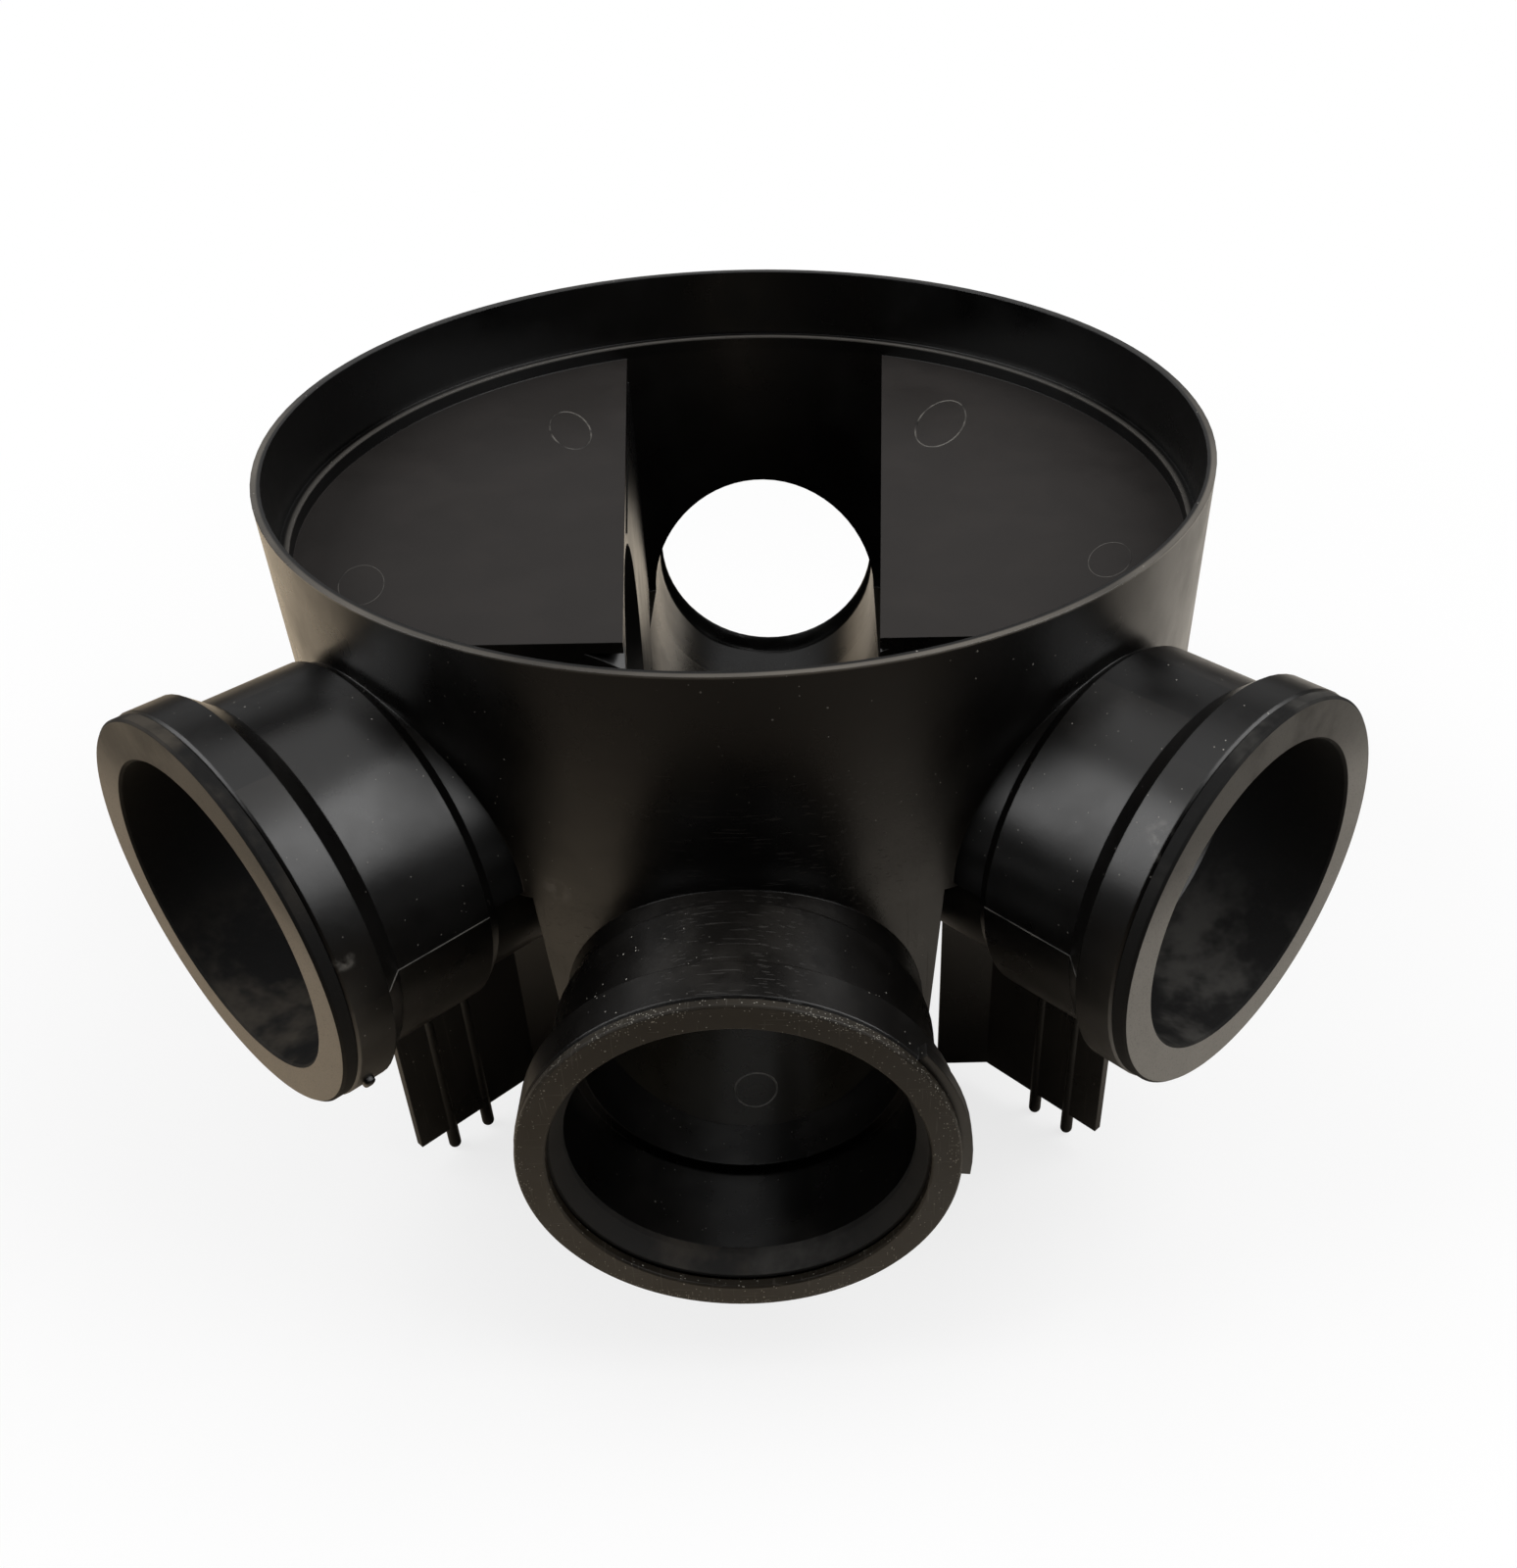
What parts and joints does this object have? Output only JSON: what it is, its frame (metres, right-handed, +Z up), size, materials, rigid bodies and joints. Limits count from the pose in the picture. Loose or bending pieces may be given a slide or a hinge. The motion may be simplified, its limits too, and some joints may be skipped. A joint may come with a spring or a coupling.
{
  "type": "drain inspection chamber base",
  "caption": "Round black chamber base with a riser socket, ring-seal inlet sockets at the front and sides, a plain outlet, a slotted benching plate and web feet.",
  "frame": {"origin": "centre of the ledge that the riser pipe stands on", "axes": "+Z up along the drum's axis, out of the riser socket; +Y along the main channel towards the outlet; the main inlet faces -Y"},
  "size_m": [0.4104, 0.4155, 0.237],
  "materials": {
    "black_plastic": "moulded polypropylene, satin",
    "ring_plastic": "dusty matt",
    "seal_rubber": "matt rubber"
  },
  "bodies": {
    "root": {"chamber_body": "black_plastic", "front_retaining_ring": "ring_plastic", "front_seal": "seal_rubber", "left_seal": "seal_rubber", "right_seal": "seal_rubber"}
  },
  "joints": []
}
